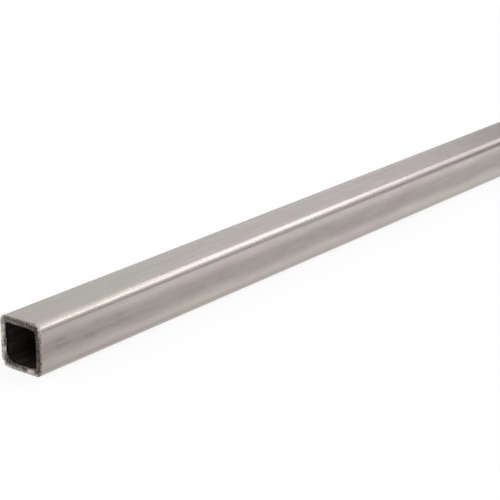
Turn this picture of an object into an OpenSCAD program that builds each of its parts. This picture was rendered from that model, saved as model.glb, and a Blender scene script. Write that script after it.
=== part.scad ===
// Square metal tube: one length of roll-formed, seam-welded steel tube with sawn ends.
// The tube lies along X on its bottom face. The origin is the middle of that face.

/* [Section] */
// Outside width and height of the square section, mm (1/2 in)
side = 12.7; // [10:0.1:60]
// Thickness of the four walls, mm (1/16 in)
wall = 1.59; // [0.8:0.01:2.4]
// Radius of the formed outside corners, mm
outer_r = 1.8; // [0.8:0.05:3.4]
// Radius of the inside corners, mm
inner_r = 0.7; // [0.1:0.05:2.5]

/* [Length] */
// Length between the two sawn ends, mm (12 in)
length = 304.8; // [150:0.1:3000]

/* [Weld seam] */
// Width of the weld bead along the inside of the back wall, mm
bead_w = 1.8; // [1.2:0.1:3]
// Height of the weld bead above the inside face, mm
bead_h = 0.3; // [0.1:0.05:0.5]

/* [Hidden] */
$fn = 64;

// Width of the square bore.
bore = side - 2 * wall;
// Radius of the bead's crown: the circle through both toes and the top of the bead.
bead_r = (pow(bead_w / 2, 2) + pow(bead_h, 2)) / (2 * bead_h);

// A square centred on the section's axis, with an arc of radius r at each corner.
module rounded_square(size, r) {
    square([size, size - 2 * r], center = true);
    square([size - 2 * r, size], center = true);
    for (sx = [-1, 1], sy = [-1, 1])
        translate([sx * (size / 2 - r), sy * (size / 2 - r)])
            circle(r);
}

// The low crown that the seam weld leaves inside the tube, halfway up the back wall.
// The weld is scarfed flush outside, so the section has no bead there.
module weld_bead() {
    intersection() {
        translate([bore / 2 - bead_h + bead_r, 0])
            circle(bead_r);
        translate([bore / 2 - bead_h, -bead_w / 2])
            square([bead_h + wall / 2, bead_w]);
    }
}

// The open part of the section: the square bore less the bead that stands into it.
module bore_outline() {
    difference() {
        rounded_square(bore, inner_r);
        weld_bead();
    }
}

module section() {
    difference() {
        rounded_square(side, outer_r);
        bore_outline();
    }
}

// The section carried straight along X between two square sawn ends.
module square_tube() {
    color([0.70, 0.67, 0.65])
        translate([-length / 2, 0, side / 2])
            rotate([90, 0, 90])
                linear_extrude(length)
                    section();
}

square_tube();
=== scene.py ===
import math
from collections import namedtuple

import bpy
import numpy as np
from mathutils import Matrix, Quaternion, Vector


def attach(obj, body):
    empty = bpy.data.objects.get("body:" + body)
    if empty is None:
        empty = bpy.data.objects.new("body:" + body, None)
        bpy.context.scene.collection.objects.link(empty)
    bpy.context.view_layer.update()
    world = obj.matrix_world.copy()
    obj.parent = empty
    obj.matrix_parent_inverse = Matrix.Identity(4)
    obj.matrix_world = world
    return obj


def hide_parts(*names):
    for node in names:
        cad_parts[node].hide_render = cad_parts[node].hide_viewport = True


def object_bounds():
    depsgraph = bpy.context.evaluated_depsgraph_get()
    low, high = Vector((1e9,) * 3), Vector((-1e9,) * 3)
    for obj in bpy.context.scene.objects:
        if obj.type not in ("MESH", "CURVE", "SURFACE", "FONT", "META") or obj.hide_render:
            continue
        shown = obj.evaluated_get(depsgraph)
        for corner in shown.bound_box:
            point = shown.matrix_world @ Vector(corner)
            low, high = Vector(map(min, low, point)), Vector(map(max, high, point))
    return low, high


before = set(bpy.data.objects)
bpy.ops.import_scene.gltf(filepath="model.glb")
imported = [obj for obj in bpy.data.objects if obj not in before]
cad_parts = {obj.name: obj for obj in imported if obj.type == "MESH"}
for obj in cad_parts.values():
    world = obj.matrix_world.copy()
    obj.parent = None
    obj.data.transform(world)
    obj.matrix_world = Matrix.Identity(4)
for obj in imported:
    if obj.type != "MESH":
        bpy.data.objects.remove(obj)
cad_low, cad_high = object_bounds()

# Sizes in metres. The outside sizes come from the frame, the others are the section's own.
MM = 0.001
LENGTH = cad_high.x - cad_low.x
SIDE = cad_high.z - cad_low.z
END_X = LENGTH / 2
MID_Z = SIDE / 2
WALL = 1.59 * MM
OUTER_R = 1.8 * MM
INNER_R = 0.7 * MM
BORE = SIDE - 2 * WALL
BEAD_W = 1.8 * MM
BEAD_H = 0.3 * MM

# How far it is round the section along each flat, each corner arc, and both.
FLAT_RUN = SIDE - 2 * OUTER_R
ARC_RUN = OUTER_R * math.pi / 2
WALL_RUN = FLAT_RUN + ARC_RUN

# The walls in their order round the section, clockwise as seen from the -X end.
BACK, TOP, FRONT, BOTTOM = range(4)
# The corners of the section as the signs of (y, z).
BACK_BOTTOM, FRONT_TOP, FRONT_BOTTOM = (1, -1), (-1, 1), (-1, -1)
# The finishes, in the order of the piece's material slots.
ROLLED, SAWN, INSIDE = range(3)

# Mesh steps along each flat and each corner arc, over the broken edge and over the sawn ring.
FLAT_STEPS = 80
ARC_STEPS = 20
WALL_STEPS = FLAT_STEPS + ARC_STEPS
AROUND = 4 * WALL_STEPS
BEVEL_STEPS = 6
RING_STEPS = 16
# Mesh rows from the middle of the tube to each end: how many are even, how far from the end plane those
# stop, and how far from it the closer ones lie, in millimetres.
SKIN_ROWS = {"even": 30, "stop": 9, "closer": (6.5, 4.6, 3.2, 2.2, 1.5, 1.0, 0.7)}
BORE_ROWS = {"even": 20, "stop": 12, "closer": (8.0, 5.5, 3.5, 2.2, 1.3, 0.8)}
# The map for baking: the margin at both ends of a strip, and the low and high V of each finish's strips.
MAP_MARGIN = 0.01
MAP_STRIP = {ROLLED: (0.30, 0.98), SAWN: (0.205, 0.29), INSIDE: (0.02, 0.195)}

# The faces of the real tube are a little hollow, with long waves: how hollow, half the height of a wave,
# its length on the first wall, how much longer it is on each next one, and how many radians further ahead.
HOLLOW = 0.03 * MM
WAVE = 0.012 * MM
WAVE_LENGTH = 110 * MM
WAVE_LONGER = 20 * MM
WAVE_AHEAD = 1.7

# Painted shade: a dark band painted along the middle of each wall, standing for a darker reflection there:
# how dark it is, how far from the middle it stays so, and how wide its edge is, both as shares of half a
# flat.
SHADE_BAND = {BACK: 0.40, TOP: 0.06, FRONT: 0.48, BOTTOM: 0.40}
BAND_FLAT = 0.20
BAND_FADE = 0.61
# Its edge widens along the tube, with the square of the share of the length, up to this share.
BAND_WIDENS = 0.50
BAND_WIDENS_TO = 0.65
# It wanders off the middle in a long and a short wave, by this share of half a flat each. The last value is
# how many radians the short wave starts ahead.
BAND_WANDER = 0.036
WANDER_LONG = 47 * MM
WANDER_SHORT = 21 * MM
WANDER_AHEAD = 1.0

# Painted shade near the ends: how much each wall is darkened there, how far in that reaches, and the share
# of it that the corner arcs lack.
END_SHADE = {BACK: 0.30, TOP: 0.15, FRONT: 0.35, BOTTOM: 0.20}
END_FADE = 45 * MM
CORNER_BRIGHT = 0.8

# Painted shade lines: dark lines along each corner, standing for dark reflections on the arcs: how far
# round the arc from the upright wall's flat each lies, and its strength and width at the -X end and at the
# +X end.
TOP_LINE = {"place": 0.18 * MM, "strength": (0.66, 0.66), "width": (0.23 * MM, 0.50 * MM)}
BOTTOM_LINE = {"place": 0.75 * MM, "strength": (0.39, 0.27), "width": (1.10 * MM, 1.10 * MM)}

# How greenish, rather than rosy, each wall is at the -X end and from the middle on, how much of that comes
# and goes in patches, and how much the top has more of it at its back edge and less at its front one.
GREEN_FIRST = {BACK: 0.5, TOP: 0.95, FRONT: 0.45, BOTTOM: 0.5}
GREEN_LAST = {BACK: 0.5, TOP: 0.15, FRONT: 0.45, BOTTOM: 0.5}
GREEN_SPREAD = 0.42
TOP_SLANT = 0.60

# Seeds of the random features of an end: each end's first one, and how far on from it each feature's begin.
RIGHT_SEED, LEFT_SEED = 11, 52
BEVEL_SEED, BURR_SEED, LUMP_SEED, RELIEF_SEED, LINE_SEED, GRAIN_SEED = 0, 2, 5, 10, 40, 60

# The broken outer edge of an end: its width on each wall, its depth as a share of that, its light, the
# layers of noise in its width, each (strength, finest count of waves), and the limits of that noise.
BEVEL = {BACK: 0.08 * MM, TOP: 0.06 * MM, FRONT: 0.12 * MM, BOTTOM: 0.05 * MM}
BEVEL_FALL = 0.6
BEVEL_LIGHT = 0.45
BEVEL_NOISE = ((0.20, 28), (0.12, 90))
BEVEL_LIMITS = (0.4, 1.6)
# How far the worn corners are rounded off, how far along the ring that reaches, and their light.
CORNER_WEAR = {BACK_BOTTOM: 0.70 * MM, FRONT_TOP: 0.58 * MM}
WEAR_SPREAD = 2.2 * MM
WEAR_LIGHT = 0.95

# The sawn ring lies this deep behind the end plane, with relief of this depth and finest count of waves.
SAW_RECESS = 0.07 * MM
SAW_RELIEF = 0.025 * MM
SAW_FINEST = 60

# The burr round the bore: how far it stands in, the mean share, noise and limits of that, the share of the
# wall where it starts to rise, and the share of it that is reached in the end plane.
BURR_REACH = 0.09 * MM
BURR_MEAN = 0.40
BURR_NOISE = ((0.32, 50), (0.26, 130))
BURR_LIMITS = (0.05, 1.5)
BURR_START = 0.75
BURR_AT_EDGE = 0.5
# Its rounded lip: depth behind the end plane, and the shares left there of burr, lumps and light.
BURR_LIP = (
    (0.05 * MM, 1.0, 1.00, 1.0),
    (0.12 * MM, 0.8, 0.92, 0.6),
    (0.22 * MM, 0.3, 0.60, 0.3),
    (0.40 * MM, 0.0, 0.20, 0.0),
)
# The light of the lip, and what the saw's streaks add to it.
LIP_LIGHT = 0.06
LIP_STREAK = 0.3

# Lumps of burr in the corners of the bore: how far each stands in, how far along the ring it reaches, its
# noise, the share of the wall where it starts, how much of it the end plane has, and the share of the light
# that it takes.
CORNER_BURR = {BACK_BOTTOM: 0.95 * MM, FRONT_TOP: 0.38 * MM, FRONT_BOTTOM: 0.24 * MM}
LUMP_SPREAD = 1.6 * MM
LUMP_NOISE = ((0.10, 60),)
LUMP_START = 0.45
LUMP_AT_EDGE = 0.85
LUMP_DARK = {BACK_BOTTOM: 0.85, FRONT_TOP: 0.75}

# The light of the sawn ring on each wall: at its filed outer rim, how far in that reaches in walls, and in
# the sawn part inside it. The rim keeps its full light over this first share of the wall.
RIM_LIGHT = {BACK: 0.86, TOP: 0.36, FRONT: 0.34, BOTTOM: 0.62}
RIM_REACH = {BACK: 0.85, TOP: 0.32, FRONT: 0.36, BOTTOM: 0.62}
SAWN_LEVEL = {BACK: 0.08, TOP: 0.08, FRONT: 0.038, BOTTOM: 0.06}
RIM_FULL = 0.1
# The saw's bright streaks: their light, the shares of the wall where they start and stop, and those over
# which they rise and fall.
STREAK = {"light": 0.20, "start": 0.35, "rise": 0.3, "stop": 1.05, "fall": 0.2}
# Long lines and short grain: strength, finest count of waves, and how many different ones cross the wall.
SAW_LINES = {"strength": 0.20, "finest": 12, "over": 8}
SAW_GRAIN = {"strength": 0.12, "finest": 60, "over": 14}

# Bright smears on the ring: wall, place along it, half width, first and last share of the wall, light.
SMEARS = (
    (BOTTOM, -3.0 * MM, 1.75 * MM, 0.00, 0.45, 0.60),
    (BOTTOM, -3.0 * MM, 1.85 * MM, 0.26, 0.69, 0.80),
    (BACK, -2.1 * MM, 0.80 * MM, 0.35, 0.95, 0.60),
    (BACK, -1.2 * MM, 0.50 * MM, 0.75, 1.00, 0.40),
    (FRONT, -4.6 * MM, 1.60 * MM, 0.00, 0.40, 0.56),
    (FRONT, 4.0 * MM, 1.00 * MM, 0.55, 0.90, 0.14),
)
# The share of the half width over which a smear fades, the share of the wall over which it does so past its
# first and last one, and how far it fills the saw's recess.
SMEAR_SOFT = 0.55
SMEAR_FADE = 0.12
SMEAR_FILLS = 0.7
# Dark stains on the ring: place (y, z) from the middle of the section, radius, share of the light lost.
STAINS = (
    (-1.00 * MM, -5.15 * MM, 0.80 * MM, 0.65),
    (5.00 * MM, 0.00 * MM, 0.80 * MM, 0.75),
    (5.65 * MM, -1.10 * MM, 0.45 * MM, 0.55),
    (4.85 * MM, -4.50 * MM, 0.70 * MM, 0.55),
    (-5.20 * MM, -5.95 * MM, 1.00 * MM, 0.50),
    (-3.40 * MM, -6.20 * MM, 1.30 * MM, 0.22),
    (-5.30 * MM, -0.10 * MM, 0.90 * MM, 0.80),
    (-5.30 * MM, -2.20 * MM, 0.75 * MM, 0.75),
)

# Colours, linear.
STEEL_ROSY = (0.553, 0.4815, 0.480, 1)
STEEL_GREENISH = (0.525, 0.4995, 0.446, 1)
# The dark colour that the painted shade mixes into the steel.
STEEL_SHADE = (0.200, 0.172, 0.160, 1)
PIT = (0.060, 0.050, 0.044, 1)
SAWN_DARK = (0.041, 0.0335, 0.0275, 1)
SAWN_LIGHT = (0.63, 0.577, 0.542, 1)
OXIDE = (0.018, 0.0155, 0.013, 1)
OXIDE_WARM = (0.040, 0.026, 0.019, 1)
PAPER = (0.95, 0.95, 0.95, 1)
WHITE = (1, 1, 1, 1)
BLACK_CARD = (0.04, 0.04, 0.04, 1)

# Noise drawn out along the tube: how wide and how long its patches are, how many finer layers it has, a
# shift that keeps it apart from the others, and how strong each layer is beside the one before.
TINT_NOISE = {"across": 9 * MM, "along": 22 * MM, "detail": 2.0}
BROAD_NOISE = {"across": 1.6 * MM, "along": 120 * MM, "detail": 2.0, "shift": 3.1}
FINE_NOISE = {"across": 0.35 * MM, "along": 60 * MM, "detail": 2.0, "shift": 7.7}
MOTTLE_NOISE = {"across": 2.4 * MM, "along": 9 * MM, "detail": 4.0, "shift": 5.3, "finer": 0.72}
OXIDE_NOISE = {"across": 2.5 * MM, "along": 12 * MM, "detail": 4.0, "shift": 1.3}
# The sawn metal's grain and its larger blotches: patches to the metre, and finer layers.
GRAIN_NOISE = {"Scale": 2600.0, "Detail": 3.0}
BLOTCH_NOISE = {"Scale": 1100.0, "Detail": 1.0}
# The values of a noise that its whole effect is spread over. A closer pair gives its patches harder edges.
NOISE_SPAN = (0.30, 0.70)
PATCH_SPAN = (0.38, 0.62)
GRAIN_SPAN = (0.35, 0.65)
OXIDE_SPAN = (0.40, 0.65)
# What the noises multiply the steel's colour by, its painted shade, and the sawn metal's light, and what
# the grain adds to that light.
BROAD_TONE = (0.94, 1.05)
FINE_TONE = (0.95, 1.05)
MOTTLE_TONE = (0.92, 1.08)
BROAD_SHADE = (0.85, 1.15)
MOTTLE_SHADE = (0.70, 1.30)
BLOTCH_LIGHT = (0.72, 1.28)
GRAIN_LIGHT = (-0.11, 0.13)

# Roughness: of the skin across its fine noise, of the sawn metal from dark to bright, of the oxide from
# black to brown, and of the stage. Then how strongly the oxide shines.
SKIN_ROUGH = (0.27, 0.33)
SAWN_ROUGH = (0.55, 0.35)
OXIDE_ROUGH = (0.55, 0.80)
STAGE_ROUGH = 0.9
OXIDE_SHINE = 0.2
# Relief that is drawn by shading only: strength and depth.
BROAD_RELIEF = (0.25, 0.020 * MM)
FINE_RELIEF = (0.35, 0.006 * MM)
PIT_RELIEF = (0.50, 0.040 * MM)
GRAIN_RELIEF = (0.50, 0.030 * MM)
OXIDE_RELIEF = (0.40, 0.050 * MM)
# Small pits in the skin: how far apart their cells are, the share of cells that has one, the largest
# radius, the share of it over which the edge fades, and how far the pit's colour covers the steel's.
PIT_SPACING = 4.0 * MM
PIT_SHARE = 0.22
PIT_RADIUS = 0.24 * MM
PIT_EDGE = 0.4
PIT_COVER = 0.75

# The camera, fitted to the tube's edges in the photograph of 500 x 500 pixels: the near bottom corner of
# the tube lies this far ahead, on this pixel. The sensor is in millimetres. What is nearer than the last
# value isn't seen.
PHOTO = 500
SENSOR = 36.0
FOCAL_PX = 1762.8
PITCH = math.radians(18.61)
HEADING = math.radians(37.87)
CORNER_DEPTH = 31.03 * SIDE
CORNER_PX = (42.22, 378.87)
NEAREST = 0.01

# Studio, in metres, degrees and watts. Azimuths are counted from +X towards +Y.
EDGE_LAMP = {
    "azimuth": -34,
    "elevation": 34.8,
    "roll": 26,
    "distance": 1.55,
    "size": (2.25, 0.28),
    "power": 4.9,
}
HALO_LAMP = {
    "azimuth": 36,
    "elevation": 48,
    "roll": 0,
    "distance": 1.65,
    "size": (1.3, 0.9),
    "power": 0.8,
}
KEY_LAMP = {
    "azimuth": -125,
    "elevation": 50,
    "roll": 0,
    "distance": 1.6,
    "size": (1.5, 1.1),
    "power": 7.0,
}
ROOM_LIGHT = 0.80
# The floor's size, and how much of its paper camera and mirror rays see as glow rather than as lit white.
FLOOR_SIZE = 60.0
PAPER_GLOW = 0.82
# The ring of black cards: its steps, distance and height. Beyond the +X end, between two azimuths, it is
# this much higher, and it rises and falls softly over some degrees.
CARD_STEPS = 180
CARD_DISTANCE = 2.5
CARD_HEIGHT = 0.01
TALL_CARD = {"rise": 0.8, "first": -38, "last": 35.8, "soft": 10}


def smooth(t):
    """Eases from 0 to 1 with level ends."""
    t = np.clip(t, 0.0, 1.0)
    return t * t * (3 - 2 * t)


def ring_noise(seed, finest, waves=16):
    """Smooth noise of about unit size that closes round the section: sines of random count and phase."""
    rng = np.random.default_rng(seed)
    around = np.arange(AROUND) / AROUND
    total = np.zeros(AROUND)
    for _ in range(waves):
        turns = rng.integers(finest // 4 + 1, finest + 1)
        total += np.sin(2 * math.pi * (turns * around + rng.random()))
    return total / math.sqrt(waves / 2)


def uneven(base, layers, seed):
    """A value with layers of noise round the section on it, each (strength, finest count of waves)."""
    total = base
    for k, (strength, finest) in enumerate(layers):
        total = total + strength * ring_noise(seed + k, finest)
    return total


# The section

def wall_point(wall, across, out):
    """A point (y, z) of the section, from its wall, its place along that wall and its distance outward."""
    c, s = [(1, 0), (0, 1), (-1, 0), (0, -1)][wall]
    return c * out - s * across, s * out + c * across


def section_loop(half, radius):
    """The rounded square as AROUND points: each wall's flat, then the arc that leads to the next wall."""
    flat = half - radius
    points = []
    for wall in range(4):
        for k in range(FLAT_STEPS):
            points.append(wall_point(wall, flat * (2 * k / FLAT_STEPS - 1), half))
        for k in range(ARC_STEPS):
            angle = math.pi / 2 * k / ARC_STEPS
            across, out = flat + radius * math.sin(angle), flat + radius * math.cos(angle)
            points.append(wall_point(wall, across, out))
    return np.array(points)


def bore_loop():
    """The bore's outline, with the weld bead's crown on the back wall."""
    loop = section_loop(BORE / 2, INNER_R)
    crown_r = (BEAD_W ** 2 / 4 + BEAD_H ** 2) / (2 * BEAD_H)
    crown = np.sqrt(np.clip(crown_r ** 2 - loop[:, 1] ** 2, 0, None)) - (crown_r - BEAD_H)
    on_back = loop[:, 0] > BORE / 2 - INNER_R / 4
    loop[:, 0] -= np.where(on_back, np.clip(crown, 0, None), 0)
    return loop


def outward(loop, half, radius):
    """Unit directions out of the rounded square at each point of its loop."""
    core = np.clip(loop, radius - half, half - radius)
    away = loop - core
    return away / np.linalg.norm(away, axis=1, keepdims=True)


OUTER = section_loop(SIDE / 2, OUTER_R)
OUTER_WAY = outward(OUTER, SIDE / 2, OUTER_R)
INNER = bore_loop()


def on_wall(wall):
    """1 on one wall's flat, easing to 0 over the arcs beside it."""
    away = np.arange(AROUND) - (wall * WALL_STEPS + FLAT_STEPS / 2)
    away = np.abs((away + AROUND / 2) % AROUND - AROUND / 2)
    return 1 - smooth((away - FLAT_STEPS / 2) / ARC_STEPS)


def by_wall(values):
    """One value for each wall, blended over the arcs, at each point round the section."""
    return sum(on_wall(wall) * values[wall] for wall in range(4)) / sum(on_wall(wall) for wall in range(4))


def across_flat():
    """Each point's place across its own wall's flat, from -1 to 1, and 1 along the arc after it."""
    step = np.arange(AROUND) % WALL_STEPS
    return np.minimum(2 * step / FLAT_STEPS - 1, 1.0)


def on_arcs():
    """1 in the middle of each corner arc, easing to 0 at the flats."""
    step = np.arange(AROUND) % WALL_STEPS
    turn = np.clip((step - FLAT_STEPS) / ARC_STEPS, 0, 1)
    return 4 * turn * (1 - turn)


def near_corner(loop, corner, reach):
    """1 at one corner of a loop, fading out over about the given reach from it."""
    half = np.abs(loop).max()
    away = np.hypot(loop[:, 0] - corner[0] * half, loop[:, 1] - corner[1] * half)
    return np.exp(-(away / reach) ** 2)


def run_length():
    """How far round the outside each point lies from the first one, in metres."""
    wall, step = np.divmod(np.arange(AROUND), WALL_STEPS)
    on_flat = np.minimum(step / FLAT_STEPS, 1) * FLAT_RUN
    on_arc = np.maximum(step - FLAT_STEPS, 0) / ARC_STEPS * ARC_RUN
    return wall * WALL_RUN + on_flat + on_arc


# The shapes of the skin and the bore

def loop_at(x, section):
    """A loop of 3-D points from its x, one value or one for each point, and its place in the section."""
    return np.column_stack([np.broadcast_to(x, AROUND), section[:, 0], section[:, 1] + MID_Z])


def row_places(rows):
    """How far from the middle of the tube the rows of mesh lie, going towards an end."""
    even = np.linspace(0, END_X - rows["stop"] * MM, rows["even"])
    closer = END_X - np.array(rows["closer"]) * MM
    return np.concatenate([even, closer])


def sink(x):
    """How far the skin lies inside the plain section at each point of the row at x."""
    hollow = np.full(AROUND, HOLLOW)
    for wall in range(4):
        wave = math.sin(2 * math.pi * x / (WAVE_LENGTH + WAVE_LONGER * wall) + WAVE_AHEAD * wall)
        hollow += on_wall(wall) * (1 + wave) * WAVE
    return (1 - across_flat() ** 2) ** 2 * hollow


def skin_loops(sign):
    """The rolled outside, from the middle of the tube to the bevel of one end."""
    return [loop_at(sign * x, OUTER - OUTER_WAY * sink(sign * x)[:, None]) for x in row_places(SKIN_ROWS)]


def bore_loops(sign):
    """The inside, from just behind the burr to the middle of the tube."""
    return [loop_at(sign * x, INNER) for x in row_places(BORE_ROWS)[::-1]]


# The sawn ends

def corner_wear():
    """How far the worn corners are rounded off at each point round an end."""
    return sum(width * near_corner(OUTER, corner, WEAR_SPREAD) for corner, width in CORNER_WEAR.items())


def bevel_width(seed):
    """How wide the outer edge is broken at each point round an end."""
    noise = uneven(1, BEVEL_NOISE, seed + BEVEL_SEED)
    return (by_wall(BEVEL) + corner_wear()) * np.clip(noise, *BEVEL_LIMITS)


def burr_reach(seed):
    """How far the jagged burr stands into the bore at each point round an end."""
    return BURR_REACH * np.clip(uneven(BURR_MEAN, BURR_NOISE, seed + BURR_SEED), *BURR_LIMITS)


def corner_burr(seed):
    """How the lumps of burr in the corners shift the bore's outline at each point round an end."""
    noise = uneven(1, LUMP_NOISE, seed + LUMP_SEED)
    shift = np.zeros((AROUND, 2))
    for corner, height in CORNER_BURR.items():
        inward = -np.array(corner) / math.sqrt(2)
        shift += (height * noise * near_corner(INNER, corner, LUMP_SPREAD))[:, None] * inward
    return shift


def lump_dark():
    """The share of the light that the lumps of burr take at each point round an end."""
    return sum(share * near_corner(INNER, corner, LUMP_SPREAD) for corner, share in LUMP_DARK.items())


def saw_streaks():
    """Where the saw's last strokes ran bright: towards the back top corner and the front bottom one."""
    angle = np.arctan2(OUTER[:, 1], OUTER[:, 0])
    return 0.5 + 0.5 * np.cos(2 * (angle - math.pi / 4))


def smears(t):
    """The light of the smeared metal in one row of the ring, t of the way in from its outer edge."""
    place = across_flat() * FLAT_RUN / 2
    total = np.zeros(AROUND)
    for wall, middle, half_width, first, last, light in SMEARS:
        along = smooth((half_width - np.abs(place - middle)) / (SMEAR_SOFT * half_width))
        over = smooth((t - first) / SMEAR_FADE + 1) * smooth((last - t) / SMEAR_FADE + 1)
        total = np.maximum(total, light * np.floor(on_wall(wall)) * along * over)
    return total


def stains(section):
    """The share of the light left by the dark stains at each point of one row of the sawn ring."""
    left = np.ones(AROUND)
    for y, z, radius, lost in STAINS:
        away = np.hypot(section[:, 0] - y, section[:, 1] - z)
        left *= 1 - lost * np.exp(-(away / radius) ** 2)
    return left


def ring_light(t, seed):
    """How bright the sawn metal is in one row of the ring, t of the way in from its outer edge."""
    rim = 1 - smooth((t - RIM_FULL) / by_wall(RIM_REACH))
    rise = smooth((t - STREAK["start"]) / STREAK["rise"])
    fall = smooth((STREAK["stop"] - t) / STREAK["fall"])
    streak = STREAK["light"] * saw_streaks() * rise * fall
    level = by_wall(SAWN_LEVEL) + (by_wall(RIM_LIGHT) - by_wall(SAWN_LEVEL)) * rim + streak
    lines = ring_noise(seed + LINE_SEED + int(SAW_LINES["over"] * t), SAW_LINES["finest"])
    grain = ring_noise(seed + GRAIN_SEED + int(SAW_GRAIN["over"] * t), SAW_GRAIN["finest"])
    return np.clip(level * (1 + SAW_LINES["strength"] * lines + SAW_GRAIN["strength"] * grain), 0, 1)


# A row of an end: its depth behind the end plane, its distance in from the outside in walls, its light and
# how much of the lumps of burr it has.
EndRow = namedtuple("EndRow", "depth inward light lumps")


def bevel_rows(bevel):
    """The rows over the broken outer edge of one end."""
    worn = np.clip(corner_wear() / min(CORNER_WEAR.values()), 0, 1)
    light = BEVEL_LIGHT + (WEAR_LIGHT - BEVEL_LIGHT) * worn
    rows = []
    for k in range(BEVEL_STEPS + 1):
        angle = math.pi / 2 * k / BEVEL_STEPS
        depth = SAW_RECESS + BEVEL_FALL * bevel * (1 - math.sin(angle))
        rows.append(EndRow(depth, bevel / WALL * (1 - math.cos(angle)), light, 0.0))
    return rows


def ring_rows(bevel, burr, seed):
    """The rows over the sawn face of one end, from its broken edge to its burr."""
    edge = bevel / WALL
    lip = np.clip(burr / BURR_REACH, 0, 1)
    dark = lump_dark()
    rows = []
    for k in range(1, RING_STEPS + 1):
        t = k / RING_STEPS
        near_bore = smooth((t - BURR_START) / (1 - BURR_START))
        smear = smears(t)
        rise = SAW_RECESS * np.maximum(near_bore * lip, SMEAR_FILLS * smear)
        relief = SAW_RELIEF * ring_noise(seed + RELIEF_SEED + k, SAW_FINEST)
        depth = np.clip(SAW_RECESS - relief - rise, 0, None)
        inward = edge + (1 - edge) * t + near_bore * burr / WALL * BURR_AT_EDGE
        lumps = LUMP_AT_EDGE * smooth((t - LUMP_START) / (1 - LUMP_START))
        light = np.maximum(ring_light(t, seed), smear) * (1 - dark * lumps)
        rows.append(EndRow(depth, inward, light, lumps))
    return rows


def lip_rows(burr):
    """The rows over the rounded lip of the burr of one end."""
    lip_light = (LIP_LIGHT + LIP_STREAK * saw_streaks()) * (1 - lump_dark())
    rows = []
    for depth, reach, lumps, light in BURR_LIP:
        rows.append(EndRow(np.full(AROUND, depth), 1 + reach * burr / WALL, light * lip_light, lumps))
    return rows


def end_loops(sign, seed):
    """The bevel, the sawn ring and the burr of one end, as (loop, light)."""
    bevel = bevel_width(seed)
    burr = burr_reach(seed)
    shift = corner_burr(seed)
    loops = []
    for row in bevel_rows(bevel) + ring_rows(bevel, burr, seed) + lip_rows(burr):
        section = OUTER + (INNER - OUTER) * row.inward[:, None] + shift * row.lumps
        loops.append((loop_at(sign * (END_X - row.depth), section), row.light * stains(section)))
    return loops


# The looks that the mesh carries

def corner_shade_lines(along):
    """The painted shade lines, dark lines standing for dark reflections, that lie on the arcs, above and
    below the upright walls' flats.
    """
    around = 4 * WALL_RUN
    edges = [
        (FLAT_RUN, 1, TOP_LINE),
        (2 * WALL_RUN, -1, TOP_LINE),
        (2 * WALL_RUN + FLAT_RUN, 1, BOTTOM_LINE),
        (0, -1, BOTTOM_LINE),
    ]
    total = np.zeros(AROUND)
    for edge, way, line in edges:
        away = (run_length() - edge - way * line["place"] + around / 2) % around - around / 2
        strength = np.interp(along, (0, 1), line["strength"])
        width = np.interp(along, (0, 1), line["width"])
        total += strength * np.exp(-(away / width) ** 2)
    return total


def band_wander(along):
    """How far off the middle of each flat its painted shade band runs at one share of the length."""
    x = along * LENGTH
    long_wave = math.sin(2 * math.pi * x / WANDER_LONG)
    short_wave = math.sin(2 * math.pi * x / WANDER_SHORT + WANDER_AHEAD)
    return BAND_WANDER * (long_wave + short_wave)


def row_painted_shade(along):
    """How much painted shade each point of one row gets, from its share of the length: the dark bands and
    corner lines that stand for darker reflections, and the shade near the ends.
    """
    across = np.abs(across_flat() + band_wander(along))
    fade = BAND_FADE + BAND_WIDENS * min(along, BAND_WIDENS_TO) ** 2
    # A dark band painted along each flat, standing for a darker reflection.
    band = by_wall(SHADE_BAND) * smooth((BAND_FLAT + fade - across) / fade)
    from_end = (0.5 - abs(along - 0.5)) * LENGTH
    # Painted shade near the ends, left off the corner arcs.
    end = by_wall(END_SHADE) * math.exp(-from_end / END_FADE) * (1 - CORNER_BRIGHT * on_arcs())
    return 1 - (1 - band) * (1 - corner_shade_lines(along)) * (1 - end)


def greenness(along):
    """How greenish the steel is at each point of one row, from its share of the length."""
    share = smooth(2 * along)
    slant = -TOP_SLANT * across_flat() * on_wall(TOP)
    return by_wall(GREEN_FIRST) * (1 - share) + by_wall(GREEN_LAST) * share + slant


# The mesh

# A row of the mesh: its points, its finish, its light, its share of the length and of the way over the end.
Row = namedtuple("Row", "loop finish light along over")


def half_tube(sign, seed):
    """Rows from the middle of the outside, over one end, to the middle of the bore."""
    skin = [(loop, ROLLED, np.ones(AROUND)) for loop in skin_loops(sign)]
    end = [(loop, SAWN, light) for loop, light in end_loops(sign, seed)]
    bore = [(loop, INSIDE, np.zeros(AROUND)) for loop in bore_loops(sign)]
    rows = []
    for k, (loop, finish, light) in enumerate(skin + end + bore):
        along = loop[:, 0].mean() / LENGTH + 0.5
        over = np.clip((k - len(skin)) / len(end), 0, 1)
        rows.append(Row(loop, finish, light, along, over))
    return rows


def strip_grid(pair, finish):
    """The (u, v) grid of the band between two rows: along its strip, or unrolled in it over an end."""
    around = np.arange(AROUND + 1) / AROUND
    low, high = MAP_STRIP[finish]
    if finish == SAWN:
        left = MAP_MARGIN + (0.5 if pair[0].along > 0.5 else 0.0)
        u = np.tile(left + (0.5 - 2 * MAP_MARGIN) * around, (2, 1))
        v = np.repeat([[low + (high - low) * row.over] for row in pair], AROUND + 1, axis=1)
    else:
        u = np.repeat([[MAP_MARGIN + (1 - 2 * MAP_MARGIN) * row.along] for row in pair], AROUND + 1, axis=1)
        v = np.tile(low + (high - low) * around, (2, 1))
    return np.stack([u, v], axis=-1)


def bake_map(rows, finishes):
    """The UV corners of every face, in the order of tube_faces."""
    corners = []
    for j, finish in enumerate(finishes):
        grid = strip_grid((rows[j], rows[(j + 1) % len(rows)]), finish)
        corners.append(np.stack([grid[0, :-1], grid[1, :-1], grid[1, 1:], grid[0, 1:]], axis=1))
    return np.array(corners, np.float32).reshape(-1)


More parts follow.
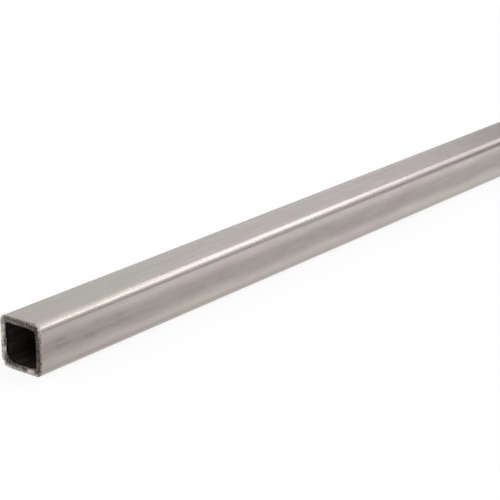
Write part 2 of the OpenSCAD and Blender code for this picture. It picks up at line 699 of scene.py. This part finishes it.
def tube_faces(count):
    """The faces of a closed grid with this many rows of AROUND points."""
    j, i = np.meshgrid(np.arange(count), np.arange(AROUND), indexing="ij")
    next_j, next_i = (j + 1) % count, (i + 1) % AROUND
    corners = [j * AROUND + i, next_j * AROUND + i, next_j * AROUND + next_i, j * AROUND + next_i]
    return np.stack(corners, axis=-1).reshape(-1, 4)


def add_attribute(mesh, name, rows):
    """Stores one number for each point of the mesh, for the materials."""
    layer = mesh.attributes.new(name, "FLOAT", "POINT")
    layer.data.foreach_set("value", np.concatenate(rows).astype(np.float32))


def tube_mesh():
    """The tube as one closed mesh: a grid that goes out over one end and comes back over the other."""
    right = half_tube(1, RIGHT_SEED)
    left = half_tube(-1, LEFT_SEED)
    rows = right + left[-2:0:-1]
    # The band between two rows has the finish of the one that lies nearer the middle of the outside.
    finishes = [row.finish for row in right[:-1]] + [row.finish for row in left[-2::-1]]
    faces = tube_faces(len(rows))
    mesh = bpy.data.meshes.new("tube_skin")
    mesh.from_pydata(np.concatenate([row.loop for row in rows]).tolist(), [], faces.tolist())
    mesh.polygons.foreach_set("material_index", np.repeat(finishes, AROUND))
    mesh.polygons.foreach_set("use_smooth", np.ones(len(faces), bool))
    mesh.uv_layers.new(name="OFBake").uv.foreach_set("vector", bake_map(rows, finishes))
    add_attribute(mesh, "light", [row.light for row in rows])
    # How much painted shade each point gets: dark bands, corner lines and shade near the ends.
    add_attribute(mesh, "painted_shade", [row_painted_shade(row.along) for row in rows])
    add_attribute(mesh, "green", [greenness(row.along) for row in rows])
    mesh.update()
    return mesh


# Shader nodes

def feed(tree, socket, value):
    """Links another node's output to an input, or sets the input to a plain value."""
    if isinstance(value, bpy.types.NodeSocket):
        tree.links.new(value, socket)
    else:
        socket.default_value = value


def node(tree, kind, settings=None, **inputs):
    """Adds a shader node, sets its options, and feeds its inputs by name."""
    made = tree.nodes.new("ShaderNode" + kind)
    for name, value in (settings or {}).items():
        setattr(made, name, value)
    for name, value in inputs.items():
        feed(tree, made.inputs[name.replace("_", " ")], value)
    return made


def math_node(tree, operation, first, second):
    """One sum, product or other operation on two values or sockets."""
    made = node(tree, "Math", {"operation": operation})
    feed(tree, made.inputs[0], first)
    feed(tree, made.inputs[1], second)
    return made.outputs[0]


def spread(tree, value, low, high, to_low=0.0, to_high=1.0):
    """Carries low..high to to_low..to_high, held at both ends."""
    made = node(tree, "MapRange", Value=value, From_Min=low, From_Max=high, To_Min=to_low, To_Max=to_high)
    return made.outputs[0]


def mix_colour(tree, factor, first, second, blend="MIX"):
    """Mixes two colours by a factor, through the node's own sockets for colours."""
    made = node(tree, "Mix", {"data_type": "RGBA", "blend_type": blend})
    feed(tree, made.inputs[0], factor)
    feed(tree, made.inputs[6], first)
    feed(tree, made.inputs[7], second)
    return made.outputs[2]


def object_place(tree):
    """Each point's place in the object, in metres."""
    return node(tree, "TexCoord").outputs["Object"]


def drawn_noise(tree, across, along, detail, shift=0.0, finer=0.5):
    """Noise in patches about across metres wide, drawn out to about along metres in X."""
    scale = (1 / along, 1 / across, 1 / across)
    moved = node(tree, "Mapping", Vector=object_place(tree), Location=(shift, shift, shift), Scale=scale)
    noise = node(tree, "TexNoise", Vector=moved.outputs[0], Scale=1.0, Detail=detail, Roughness=finer)
    return noise.outputs[0]


def attribute(tree, name):
    """Reads one of the mesh's own point values."""
    return node(tree, "Attribute", {"attribute_name": name}).outputs["Fac"]


def new_material(name):
    """An empty node material with its shader and output: (material, tree, shader)."""
    material = bpy.data.materials.new(name)
    material.use_nodes = True
    tree = material.node_tree
    tree.nodes.clear()
    shader = node(tree, "BsdfPrincipled")
    tree.links.new(shader.outputs[0], node(tree, "OutputMaterial").inputs["Surface"])
    return material, tree, shader


def bump(tree, shader, layers):
    """Chains bump layers, each (height, strength, distance in metres), into the shader's normal."""
    normal = None
    for height, strength, distance in layers:
        made = node(tree, "Bump", Strength=strength, Distance=distance, Height=height)
        if normal is not None:
            tree.links.new(normal, made.inputs["Normal"])
        normal = made.outputs[0]
    tree.links.new(normal, shader.inputs["Normal"])


# The materials of the tube

def pits(tree):
    """1 in a few small round pits and dark specks, 0 elsewhere."""
    cells = node(tree, "TexVoronoi", Vector=object_place(tree), Scale=1 / PIT_SPACING)
    chosen = node(tree, "SeparateColor", Color=cells.outputs["Color"]).outputs[0]
    size = spread(tree, chosen, 1 - PIT_SHARE, 1.0, 0.0, PIT_RADIUS / PIT_SPACING)
    inside = math_node(tree, "SUBTRACT", size, cells.outputs["Distance"])
    return spread(tree, inside, 0.0, PIT_EDGE * PIT_RADIUS / PIT_SPACING)


def tinted_steel(tree):
    """The steel's own colour, in rosy and greenish patches."""
    patches = spread(tree, drawn_noise(tree, **TINT_NOISE), *PATCH_SPAN, -GREEN_SPREAD, GREEN_SPREAD)
    green = spread(tree, math_node(tree, "ADD", attribute(tree, "green"), patches), 0.0, 1.0)
    return mix_colour(tree, green, STEEL_ROSY, STEEL_GREENISH)


def toned(tree, colour, noises):
    """A colour darkened and brightened by noises, each with its darkest and brightest tone."""
    for noise, tones in noises:
        colour = mix_colour(tree, 1.0, colour, spread(tree, noise, *NOISE_SPAN, *tones), "MULTIPLY")
    return colour


def noisy_painted_shade(tree, noises):
    """The mesh's own painted shade, thinned and thickened by noises, each with its least and greatest
    share.
    """
    painted_shade = attribute(tree, "painted_shade")
    for noise, shares in noises:
        painted_shade = math_node(tree, "MULTIPLY", painted_shade, spread(tree, noise, *NOISE_SPAN, *shares))
    return painted_shade


def rolled_steel():
    """Bright satin mill steel: rosy and greenish patches, streaks, mottling and small pits, with painted
    shade in dark bands, corner lines and near the ends.
    """
    material, tree, shader = new_material("rolled_steel")
    broad = drawn_noise(tree, **BROAD_NOISE)
    fine = drawn_noise(tree, **FINE_NOISE)
    mottle = drawn_noise(tree, **MOTTLE_NOISE)
    spots = pits(tree)
    tones = [(broad, BROAD_TONE), (fine, FINE_TONE), (mottle, MOTTLE_TONE)]
    colour = toned(tree, tinted_steel(tree), tones)
    painted_shade = noisy_painted_shade(tree, [(broad, BROAD_SHADE), (mottle, MOTTLE_SHADE)])
    # Mixes the painted shade into the steel's colour.
    colour = mix_colour(tree, painted_shade, colour, STEEL_SHADE)
    colour = mix_colour(tree, math_node(tree, "MULTIPLY", spots, PIT_COVER), colour, PIT)
    feed(tree, shader.inputs["Base Color"], colour)
    feed(tree, shader.inputs["Roughness"], spread(tree, fine, *NOISE_SPAN, *SKIN_ROUGH))
    shader.inputs["Metallic"].default_value = 1.0
    depth = math_node(tree, "SUBTRACT", 1.0, spots)
    bump(tree, shader, [(broad, *BROAD_RELIEF), (fine, *FINE_RELIEF), (depth, *PIT_RELIEF)])
    return material


def sawn_steel():
    """Sawn and filed metal: dark saw marks, with bright filed edges where light is high."""
    material, tree, shader = new_material("sawn_steel")
    grain = node(tree, "TexNoise", Vector=object_place(tree), **GRAIN_NOISE).outputs[0]
    blotches = node(tree, "TexNoise", Vector=object_place(tree), **BLOTCH_NOISE).outputs[0]
    fleck = spread(tree, grain, *GRAIN_SPAN, *GRAIN_LIGHT)
    light = math_node(tree, "ADD", attribute(tree, "light"), fleck)
    light = math_node(tree, "MULTIPLY", light, spread(tree, blotches, *PATCH_SPAN, *BLOTCH_LIGHT))
    colour = mix_colour(tree, spread(tree, light, 0.0, 1.0), SAWN_DARK, SAWN_LIGHT)
    feed(tree, shader.inputs["Base Color"], colour)
    feed(tree, shader.inputs["Roughness"], spread(tree, light, 0.0, 1.0, *SAWN_ROUGH))
    shader.inputs["Metallic"].default_value = 1.0
    bump(tree, shader, [(grain, *GRAIN_RELIEF)])
    return material


def bore_oxide():
    """The near black, slightly brown oxide inside the tube."""
    material, tree, shader = new_material("bore_oxide")
    patches = spread(tree, drawn_noise(tree, **OXIDE_NOISE), *OXIDE_SPAN)
    feed(tree, shader.inputs["Base Color"], mix_colour(tree, patches, OXIDE, OXIDE_WARM))
    feed(tree, shader.inputs["Roughness"], spread(tree, patches, 0.0, 1.0, *OXIDE_ROUGH))
    shader.inputs["Specular IOR Level"].default_value = OXIDE_SHINE
    bump(tree, shader, [(patches, *OXIDE_RELIEF)])
    return material


# The stage

def link_object(name, data):
    """Makes an object of some data and puts it in the scene."""
    made = bpy.data.objects.new(name, data)
    bpy.context.scene.collection.objects.link(made)
    return made


def stage_material(name, colour):
    """A matt material of one colour for the stage: (material, tree, shader)."""
    material, tree, shader = new_material(name)
    shader.inputs["Base Color"].default_value = colour
    shader.inputs["Roughness"].default_value = STAGE_ROUGH
    shader.inputs["Specular IOR Level"].default_value = 0.0
    return material, tree, shader


def paper():
    """White paper that camera and mirror rays see partly glowing, so the tube's shadow stays faint."""
    material, tree, shader = stage_material("paper", PAPER)
    rays = node(tree, "LightPath").outputs
    seen = math_node(tree, "MAXIMUM", rays["Is Camera Ray"], rays["Is Glossy Ray"])
    glow = node(tree, "Emission", Color=WHITE, Strength=1.0)
    mixed = node(tree, "MixShader", Fac=math_node(tree, "MULTIPLY", seen, PAPER_GLOW))
    tree.links.new(shader.outputs[0], mixed.inputs[1])
    tree.links.new(glow.outputs[0], mixed.inputs[2])
    output = next(item for item in tree.nodes if item.type == "OUTPUT_MATERIAL")
    tree.links.new(mixed.outputs[0], output.inputs["Surface"])
    return material


def white_floor():
    """The pale floor that the tube lies on."""
    half = FLOOR_SIZE / 2
    corners = [(-half, -half, 0), (half, -half, 0), (half, half, 0), (-half, half, 0)]
    mesh = bpy.data.meshes.new("floor")
    mesh.from_pydata(corners, [], [(0, 1, 2, 3)])
    mesh.materials.append(paper())
    link_object("floor", mesh)


def card_height(azimuth):
    """How high the black cards stand towards one azimuth, in degrees from -180 to 180."""
    inside = min(azimuth - TALL_CARD["first"], TALL_CARD["last"] - azimuth)
    return CARD_HEIGHT + TALL_CARD["rise"] * smooth(inside / TALL_CARD["soft"])


def card_mesh():
    """The ring of cards: a foot and a top at each step, and a face from each step to the next."""
    points = []
    faces = []
    for k in range(CARD_STEPS):
        azimuth = 360 * k / CARD_STEPS - 180
        x = CARD_DISTANCE * math.cos(math.radians(azimuth))
        y = CARD_DISTANCE * math.sin(math.radians(azimuth))
        points += [(x, y, 0), (x, y, card_height(azimuth))]
        foot, next_foot = 2 * k, 2 * ((k + 1) % CARD_STEPS)
        faces.append((foot, foot + 1, next_foot + 1, next_foot))
    mesh = bpy.data.meshes.new("black_card")
    mesh.from_pydata(points, [], faces)
    return mesh


def dark_cards():
    """Black card all round the set, seen only in the metal, that draws dark lines along its corners."""
    mesh = card_mesh()
    mesh.materials.append(stage_material("black_card", BLACK_CARD)[0])
    cards = link_object("black_card", mesh)
    cards.visible_camera = False
    cards.visible_diffuse = False
    cards.visible_shadow = False


def softbox(name, azimuth, elevation, roll, distance, size, power):
    """One soft rectangular lamp, aimed at the tube."""
    azimuth, elevation = math.radians(azimuth), math.radians(elevation)
    level = math.cos(elevation)
    way = Vector((level * math.cos(azimuth), level * math.sin(azimuth), math.sin(elevation)))
    data = bpy.data.lights.new(name, "AREA")
    data.shape = "RECTANGLE"
    data.size, data.size_y = size
    data.energy = power
    lamp = link_object(name, data)
    lamp.location = way * distance
    lamp.rotation_mode = "QUATERNION"
    lamp.rotation_quaternion = (-way).to_track_quat("-Z", "Y") @ Quaternion((0, 0, 1), math.radians(roll))
    lamp.visible_camera = False


def white_world():
    """Plain white light from all round."""
    world = bpy.data.worlds.new("white_room")
    world.use_nodes = True
    background = world.node_tree.nodes["Background"]
    background.inputs["Color"].default_value = WHITE
    background.inputs["Strength"].default_value = ROOM_LIGHT
    bpy.context.scene.world = world


def photo_camera():
    """The photograph's camera: pitched down, turned from +X, with the near corner on its own pixel."""
    level = math.cos(PITCH)
    ahead = Vector((level * math.cos(HEADING), level * math.sin(HEADING), -math.sin(PITCH)))
    right = Vector((math.sin(HEADING), -math.cos(HEADING), 0))
    up = right.cross(ahead)
    corner = Vector((-END_X, -SIDE / 2, 0))
    across = (CORNER_PX[0] - PHOTO / 2) / FOCAL_PX * CORNER_DEPTH
    above = (PHOTO / 2 - CORNER_PX[1]) / FOCAL_PX * CORNER_DEPTH
    data = bpy.data.cameras.new("camera")
    data.sensor_width = SENSOR
    data.lens = FOCAL_PX / PHOTO * SENSOR
    data.clip_start = NEAREST
    camera = link_object("camera", data)
    turn = Matrix((right, up, -ahead)).transposed().to_4x4()
    place = corner - right * across - up * above - ahead * CORNER_DEPTH
    camera.matrix_world = Matrix.Translation(place) @ turn
    bpy.context.scene.camera = camera


def square_tube():
    """The tube as one closed piece with its three finishes."""
    mesh = tube_mesh()
    for material in (rolled_steel(), sawn_steel(), bore_oxide()):
        mesh.materials.append(material)
    return link_object("tube_skin", mesh)


photo_camera()
white_world()
white_floor()
dark_cards()
softbox("edge_lamp", **EDGE_LAMP)
softbox("halo_lamp", **HALO_LAMP)
softbox("key_lamp", **KEY_LAMP)
tube = square_tube()
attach(tube, "root")
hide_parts("square_tube")
bpy.context.scene.view_settings.view_transform = "Standard"
